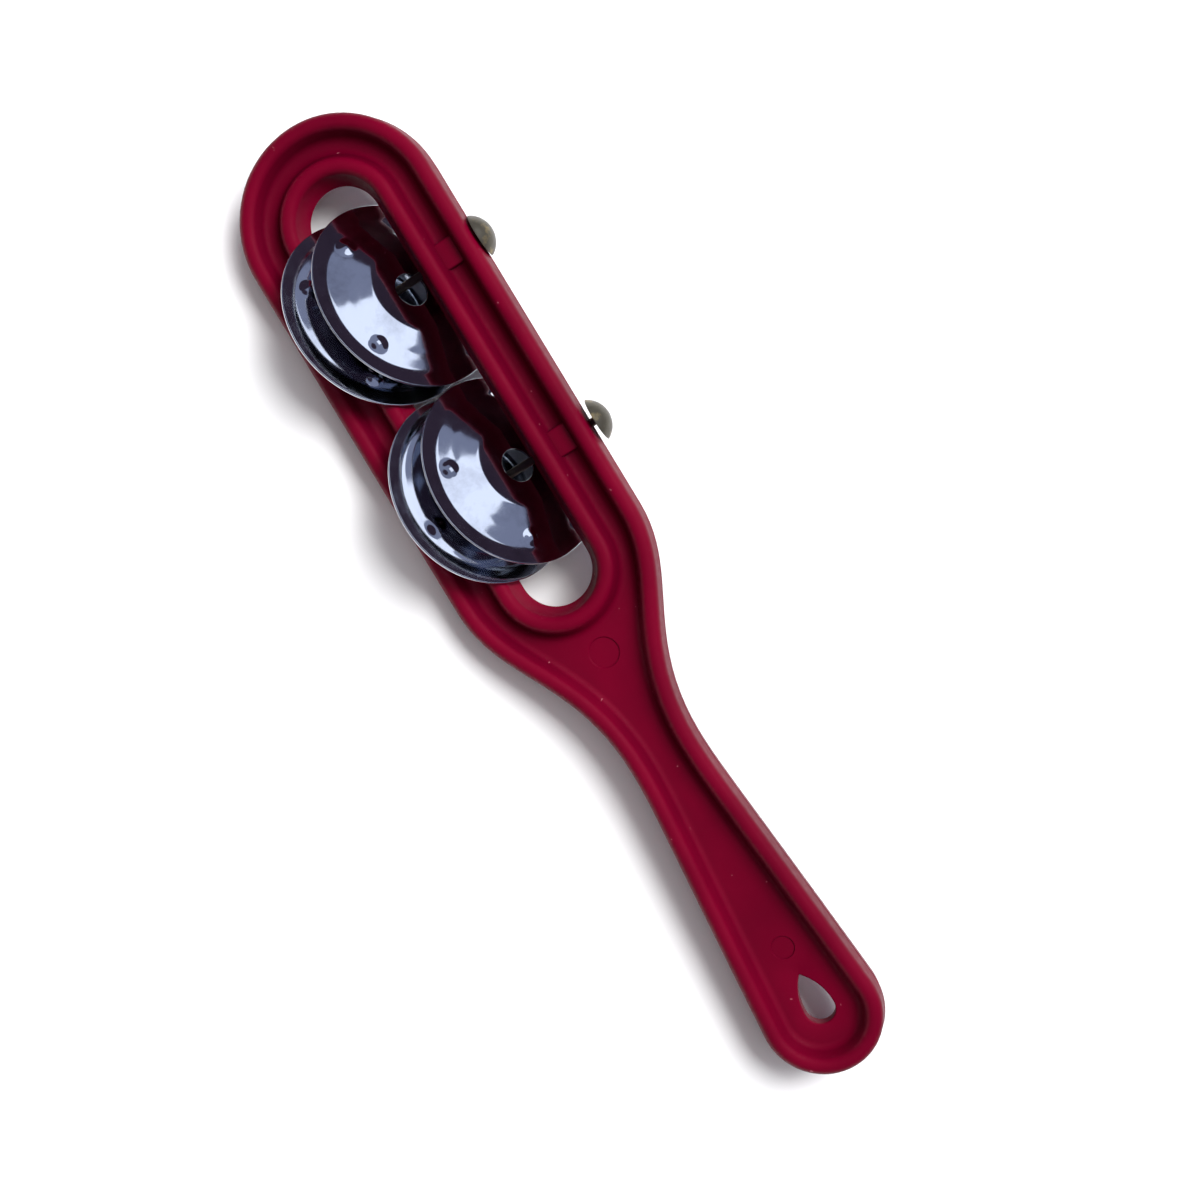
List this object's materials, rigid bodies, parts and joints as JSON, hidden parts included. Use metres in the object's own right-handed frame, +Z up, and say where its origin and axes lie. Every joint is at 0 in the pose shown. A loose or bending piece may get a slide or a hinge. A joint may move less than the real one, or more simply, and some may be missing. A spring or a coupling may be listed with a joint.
{
  "type": "hand jingle",
  "caption": "Moulded plastic jingle stick: a slotted head carries pairs of loose pressed steel jingles on nails with domed caps; the tapered grip ends in a teardrop hang hole.",
  "frame": {"origin": "middle of the footprint on the table that the object lies on", "axes": "+Y along the stick towards the head, +X across it towards the nail caps, +Z up from the table; the stick lies rolled about Y, on one edge of its head and on its jingles"},
  "size_m": [0.046, 0.216, 0.0234],
  "materials": {
    "moulded_plastic": "moulded, satin gloss",
    "aged_brass": "stamped, dulled by age",
    "nail_steel": "drawn wire",
    "plated_steel": "pressed sheet, bright nickel plate"
  },
  "bodies": {
    "stick": {"handle_frame": "moulded_plastic", "upper_nail_cap": "aged_brass", "upper_nail_shank": "nail_steel", "lower_nail_cap": "aged_brass", "lower_nail_shank": "nail_steel"},
    "upper_front": {"upper_front_jingle": "plated_steel"},
    "upper_back": {"upper_back_jingle": "plated_steel"},
    "lower_front": {"lower_front_jingle": "plated_steel"},
    "lower_back": {"lower_back_jingle": "plated_steel"}
  },
  "joints": [
    {"name": "upper_front_swing", "type": "hinge", "parent": "stick", "child": "upper_front", "pos_m": [0.00332, 0.0686, 0.01309], "axis": [0, 1, 0], "range_deg": [0, 80]},
    {"name": "upper_back_swing", "type": "hinge", "parent": "stick", "child": "upper_back", "pos_m": [-0.00277, 0.0686, 0.01089], "axis": [0, 1, 0], "range_deg": [0, 80]},
    {"name": "lower_front_swing", "type": "hinge", "parent": "stick", "child": "lower_front", "pos_m": [0.00332, 0.028, 0.01309], "axis": [0, 1, 0], "range_deg": [0, 80]},
    {"name": "lower_back_swing", "type": "hinge", "parent": "stick", "child": "lower_back", "pos_m": [-0.00277, 0.028, 0.01089], "axis": [0, 1, 0], "range_deg": [0, 80]}
  ],
  "couplings": [
    {"joint": "upper_back_swing", "follows": "upper_front_swing", "ratio": 1},
    {"joint": "lower_back_swing", "follows": "lower_front_swing", "ratio": 1}
  ]
}
